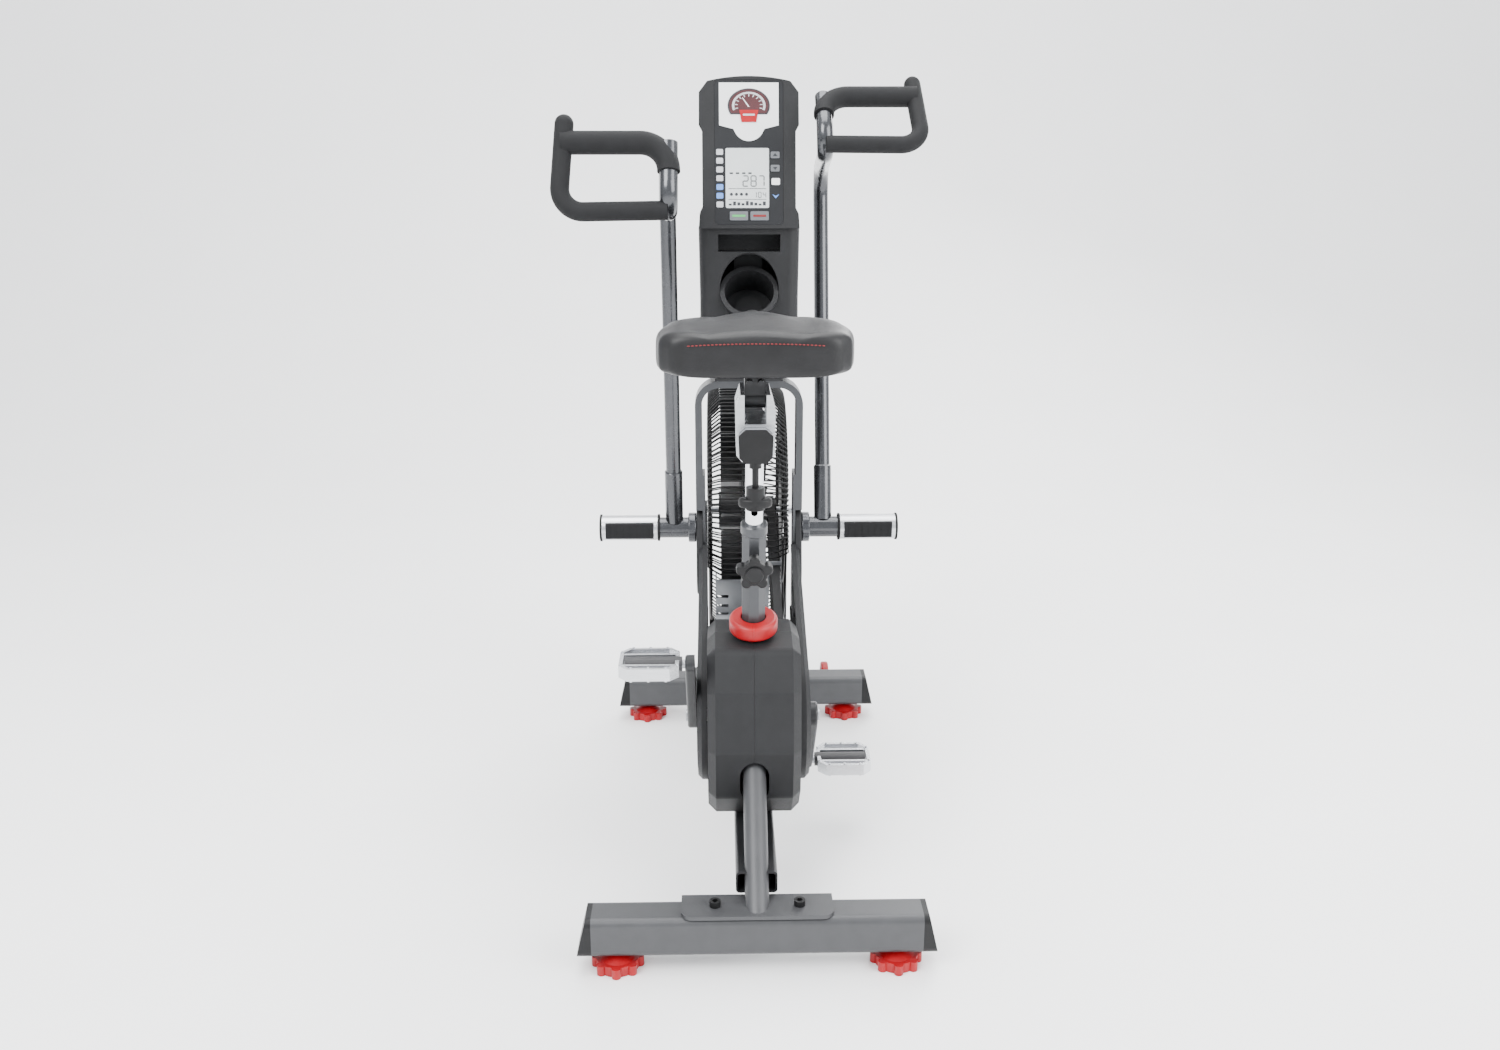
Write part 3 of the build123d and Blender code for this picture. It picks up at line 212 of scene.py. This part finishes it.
def half_width(t):
    """Half the plan width from the rear wall (t 0) to the nose (t 1)."""
    points = [(0.0, 0.104), (0.03, 0.125), (0.10, 0.140), (0.22, 0.1445), (0.36, 0.136), (0.5, 0.113),
              (0.62, 0.084), (0.74, 0.060), (0.86, 0.045), (0.94, 0.035), (1.0, 0.006)]
    for (a, wa), (b, wb) in zip(points, points[1:]):
        if t <= b:
            k = (t - a) / (b - a)
            k = k * k * (3 - 2 * k)
            return wa + (wb - wa) * k
    return 0.006


def cushion_top(t, u):
    """Height of the crowned top over the base; u is -1 to 1 across."""
    crown = 0.064 + 0.012 * math.exp(-((t - 0.4) / 0.3) ** 2) - 0.006 * t
    dish = -0.006 * math.exp(-((abs(u) - 0.45) / 0.2) ** 2) * (1 - t)
    hump = 0.012 * math.exp(-(u / 0.26) ** 2) * min(1, t / 0.3)
    return crown + dish + hump


verts, faces = [], []
for row in range(ROWS + 1):
    t = row / ROWS
    ease = math.sin(min(1, t / 0.06) * math.pi / 2) if t < 0.06 else 1
    end = math.sqrt(max(0.0, 1 - max(0, (t - 0.9) / 0.1) ** 2))
    w = half_width(t)
    y = rear + (nose - rear) * t
    for step in range(AROUND):
        a = 2 * math.pi * step / AROUND
        c, s = math.cos(a), math.sin(a)
        u = math.copysign(abs(c) ** 0.32, c)
        if s >= 0:
            body_h = cushion_top(t, u) * (0.86 + 0.14 * ease) * (0.55 + 0.45 * end)
            z = base + 0.020 + (body_h - 0.020) * abs(s) ** 0.34
        else:
            z = base + 0.020 - 0.0195 * abs(s) ** 0.4
            u *= 1 - 0.05 * abs(s)
        verts.append((w * u, y, z))
for row in range(ROWS):
    for step in range(AROUND):
        a, b = row * AROUND + step, row * AROUND + (step + 1) % AROUND
        faces.append((a, b, b + AROUND, a + AROUND))
faces.append(tuple(reversed(range(AROUND))))
faces.append(tuple(range(ROWS * AROUND, (ROWS + 1) * AROUND)))
cushion = mesh_object("saddle_cushion", verts, faces, "vinyl", "saddle")
rounding = cushion.modifiers.new("rounding", "SUBSURF")
rounding.levels = 1
rounding.render_levels = 2
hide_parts("saddle")


def stitch_path(name, points, radius, mat, body):
    """A row of short raised stitches along a line of points."""
    vs, fs = [], []
    length = sum((b - a).length for a, b in zip(points, points[1:]))
    count = max(2, int(length / 0.0055))
    for k in range(count):
        want = length * (k + 0.5) / count
        for a, b in zip(points, points[1:]):
            seg = (b - a).length
            if want <= seg:
                break
            want -= seg
        along = (b - a).normalized()
        mid = a + along * want
        side = along.cross(Vector((0, 0, 1))).normalized()
        up = side.cross(along).normalized()
        start = len(vs)
        for off, r in ((-0.0020, 0.3), (-0.0010, 1), (0.0010, 1), (0.0020, 0.3)):
            for i in range(6):
                ang = 2 * math.pi * i / 6
                vs.append(mid + along * off + (side * math.cos(ang) + up * math.sin(ang)) * radius * r)
        for ring in range(3):
            for i in range(6):
                p, q = start + ring * 6 + i, start + ring * 6 + (i + 1) % 6
                fs.append((p, q, q + 6, p + 6))
        fs.append(tuple(start + i for i in reversed(range(6))))
        fs.append(tuple(start + 18 + i for i in range(6)))
    return mesh_object(name, vs, fs, mat, body)


line = []
for k in range(41):
    u = -1 + 2 * k / 40
    line.append(Vector((0.098 * u, rear - 0.0004, base + 0.050 - 0.003 * u * u)))
stitch_path("saddle_stitching", line, 0.0009, "red_thread", "saddle")

# ---- console face: prints, dial and display ------------------------------------------------
tilt = math.radians(12)
face_origin = Vector((0, -0.012, 1.0625))
face_up = Vector((0, math.sin(tilt), math.cos(tilt)))
face_out = Vector((0, -math.cos(tilt), math.sin(tilt)))


def on_face(x, z, lift):
    return face_origin + Vector((x, 0, 0)) + face_up * z + face_out * lift


def decal(name, outline, lift, thick, mat):
    """A thin raised shape on the console face; outline in metres on the face."""
    n = len(outline)
    vs = [on_face(x, z, lift) for x, z in outline] + [on_face(x, z, lift + thick) for x, z in outline]
    fs = [tuple(reversed(range(n))), tuple(range(n, 2 * n))]
    fs += [(i, (i + 1) % n, n + (i + 1) % n, n + i) for i in range(n)]
    return mesh_object(name, vs, fs, mat, "frame", False)


def arc(cx, cz, r, a0, a1, count=24):
    return [(cx + r * math.cos(math.radians(a0 + (a1 - a0) * k / count)),
             cz + r * math.sin(math.radians(a0 + (a1 - a0) * k / count))) for k in range(count + 1)]


def band(cx, cz, r0, r1, a0, a1, count=24):
    return arc(cx, cz, r1, a0, a1, count) + list(reversed(arc(cx, cz, r0, a0, a1, count)))


def box_shape(cx, cz, w, h, r=0.0015):
    pts = []
    for sx, sz, a in ((1, 1, 0), (-1, 1, 90), (-1, -1, 180), (1, -1, 270)):
        pts += arc(cx + sx * (w / 2 - r), cz + sz * (h / 2 - r), r, a, a + 90, 4)
    return pts


FACE = -0.0005
panel = [(0.050, 0.241), (-0.050, 0.241), (-0.050, 0.171), (-0.026, 0.165)] + arc(0, 0.171, 0.0260, 195, 345, 16)[1:-1] \
    + [(0.026, 0.165), (0.050, 0.171)]
decal("upper_panel", panel, FACE, 0.0005, "panel_white")
DIAL_Z = 0.203
decal("dial_rim", [(x * 1.25, z) for x, z in arc(0, DIAL_Z, 0.0285, -30, 210, 48)],
      FACE + 0.0005, 0.0006, "ink")
decal("dial_face", [(x * 1.25, z) for x, z in arc(0, DIAL_Z, 0.0265, -28, 208, 48)],
      FACE + 0.0011, 0.0003, "dial")
decal("dial_arc", [(x * 1.25, z) for x, z in band(0, DIAL_Z, 0.0195, 0.0225, -20, 200, 40)],
      FACE + 0.0014, 0.0002, "silver_print")
for k in range(11):
    a = -15 + 21 * k
    tick = [(x * 1.25, z) for x, z in band(0, DIAL_Z, 0.0150, 0.0188, a - 2, a + 2, 2)]
    decal("dial_tick_%02d" % k, tick, FACE + 0.0014, 0.0002, "silver_print")
decal("dial_needle", [(-0.0012, 0.2010), (0.0012, 0.2010), (-0.0105, 0.2165), (-0.0113, 0.2160)],
      FACE + 0.0014, 0.0004, "panel_white")
decal("badge", [(0.016, 0.196), (-0.016, 0.196), (-0.0125, 0.176), (0.0125, 0.176)],
      FACE + 0.0014, 0.0005, "red_plastic")
decal("badge_bar", box_shape(0, 0.188, 0.020, 0.003, 0.001), FACE + 0.0019, 0.0002, "silver_print")

SEGMENTS = {"0": "abcdef", "1": "bc", "2": "abged", "3": "abgcd", "4": "fgbc", "5": "afgcd", "6": "afgedc",
            "7": "abc", "8": "abcdefg", "9": "abcdfg"}
SCREEN = -0.0009


def digit(name, ch, x, z, w, h):
    t = h * 0.11
    bars = {"a": (0, h / 2, w, t), "g": (0, 0, w, t), "d": (0, -h / 2, w, t),
            "f": (-w / 2, h / 4, t, h / 2), "b": (w / 2, h / 4, t, h / 2),
            "e": (-w / 2, -h / 4, t, h / 2), "c": (w / 2, -h / 4, t, h / 2)}
    for s in SEGMENTS[ch]:
        dx, dz, bw, bh = bars[s]
        bw2, bh2 = max(bw - t * 0.6, t * 0.8), max(bh - t * 0.6, t * 0.8)
        decal(name + "_" + s, box_shape(x + dx, z + dz, bw2, bh2, t * 0.3), SCREEN, 0.0002, "ink")


for k, ch in enumerate("287"):
    digit("lcd_main_%d" % k, ch, -0.006 + 0.0135 * k, 0.079, 0.0085, 0.017)
for k, ch in enumerate("104"):
    digit("lcd_small_%d" % k, ch, 0.010 + 0.008 * k, 0.056, 0.0045, 0.009)
for k in range(4):
    decal("lcd_mark_%d" % k, box_shape(-0.030 + 0.0105 * k, 0.092, 0.006, 0.0025, 0.0008),
          SCREEN, 0.0002, "ink")
    decal("lcd_icon_%d" % k, arc(-0.030 + 0.0085 * k, 0.057, 0.0026, 0, 330, 10),
          SCREEN, 0.0002, "ink")
for k in range(9):
    height = 0.003 + 0.0007 * ((k * 5) % 7)
    decal("lcd_bar_%d" % k, box_shape(-0.032 + 0.0072 * k, 0.0385 + height / 2, 0.0048, height, 0.0004),
          SCREEN, 0.0002, "ink")
for k, z in enumerate((0.0665, 0.0485)):
    decal("lcd_rule_%d" % k, box_shape(-0.003, z, 0.064, 0.0007, 0.0003), SCREEN, 0.0002, "ink")
for k in range(7):
    mat = "blue_print" if k in (1, 2) else "silver_print"
    decal("side_key_%d" % k, box_shape(-0.0495, 0.040 + 0.0145 * k, 0.0115, 0.0095, 0.002), FACE, 0.0007, mat)
decal("white_square", box_shape(0.045, 0.078, 0.014, 0.011, 0.002), FACE, 0.0007, "panel_white")
decal("blue_arrow", [(0.039, 0.057), (0.045, 0.050), (0.051, 0.057), (0.045, 0.054)],
      FACE, 0.0007, "blue_print")


def key_mark(name, outline, body, mat):
    n = len(outline)
    vs = [on_face(x, z, 0.0007) for x, z in outline] + [on_face(x, z, 0.0010) for x, z in outline]
    fs = [tuple(reversed(range(n))), tuple(range(n, 2 * n))]
    fs += [(i, (i + 1) % n, n + (i + 1) % n, n + i) for i in range(n)]
    return mesh_object(name, vs, fs, mat, body, False)


key_mark("up_mark", [(0.040, 0.1200), (0.048, 0.1200), (0.044, 0.1250)], "up_key", "ink")
key_mark("down_mark", [(0.040, 0.1020), (0.044, 0.0970), (0.048, 0.1020)], "down_key", "ink")
key_mark("start_mark", box_shape(-0.0175, 0.021, 0.022, 0.0035, 0.001), "start_key", "green_print")
key_mark("stop_mark", box_shape(0.0175, 0.021, 0.022, 0.0035, 0.001), "stop_key", "red_thread")

# ---- soft edges on moulded and pressed parts ---------------------------------------------------
for name in ("right_housing", "left_housing", "right_side_cover", "left_side_cover", "mast_shroud", "console_shell",
             "fork", "lower_guard", "seat_slider", "crank_arms", "stabiliser_end_caps", "lock_knob", "height_knob",
             "rail_caps", "seat_tube", "left_front_foot", "right_front_foot", "left_rear_foot", "right_rear_foot"):
    edge = nodes[name].modifiers.new("edge", "BEVEL")
    edge.width = 0.0008
    edge.segments = 2
    edge.limit_method = "ANGLE"
    edge.angle_limit = math.radians(32)

# ---- floor, lights and camera ------------------------------------------------------------------
verts, faces = [], []
for k in range(25):
    a = k / 24
    if a < 0.5:
        y, z = -6 + 16 * a, 0
    else:
        turn = (a - 0.5) * math.pi
        y, z = 2 + 2.5 * math.sin(turn), 2.5 - 2.5 * math.cos(turn)
    verts += [(-9, y, z - 0.0005), (9, y, z - 0.0005)]
verts += [(-9, 4.5, 7), (9, 4.5, 7)]
faces = [(2 * k, 2 * k + 1, 2 * k + 3, 2 * k + 2) for k in range(25)]
mesh = bpy.data.meshes.new("backdrop")
mesh.from_pydata(verts, [], faces)
backdrop = bpy.data.objects.new("backdrop", mesh)
bpy.context.scene.collection.objects.link(backdrop)
mesh.materials.append(material("pale_floor", (0.92, 0.92, 0.92), 0.6, 0, 0.01, 3, 0.02, 200))
for p in mesh.polygons:
    p.use_smooth = True


def area(name, place, aim, size, power):
    data = bpy.data.lights.new(name, "AREA")
    data.energy = power
    data.size = size
    ob = bpy.data.objects.new(name, data)
    bpy.context.scene.collection.objects.link(ob)
    ob.location = place
    ob.rotation_euler = (Vector(aim) - Vector(place)).to_track_quat("-Z", "Y").to_euler()


area("key", (-2.2, -2.6, 3.4), (0, 0, 0.6), 2.4, 260)
area("fill", (2.8, -2.0, 2.2), (0, 0, 0.6), 2.6, 180)
area("top", (0, 0.4, 4.0), (0, 0, 0.5), 3.0, 220)
area("rim", (1.6, 2.6, 2.6), (0, 0, 0.8), 1.6, 80)
world = bpy.data.worlds.new("studio")
world.use_nodes = True
world.node_tree.nodes["Background"].inputs["Color"].default_value = (0.9, 0.92, 0.95, 1)
world.node_tree.nodes["Background"].inputs["Strength"].default_value = 1.6
bpy.context.scene.world = world

camera_data = bpy.data.cameras.new("camera")
camera_data.lens = 31.2
camera_data.sensor_width = 36
camera = bpy.data.objects.new("camera", camera_data)
bpy.context.scene.collection.objects.link(camera)
camera.location = (-0.05, -2.264, 1.22)
camera.rotation_euler = (math.radians(90 - 16.85), 0, math.radians(-1.3))
bpy.context.scene.camera = camera
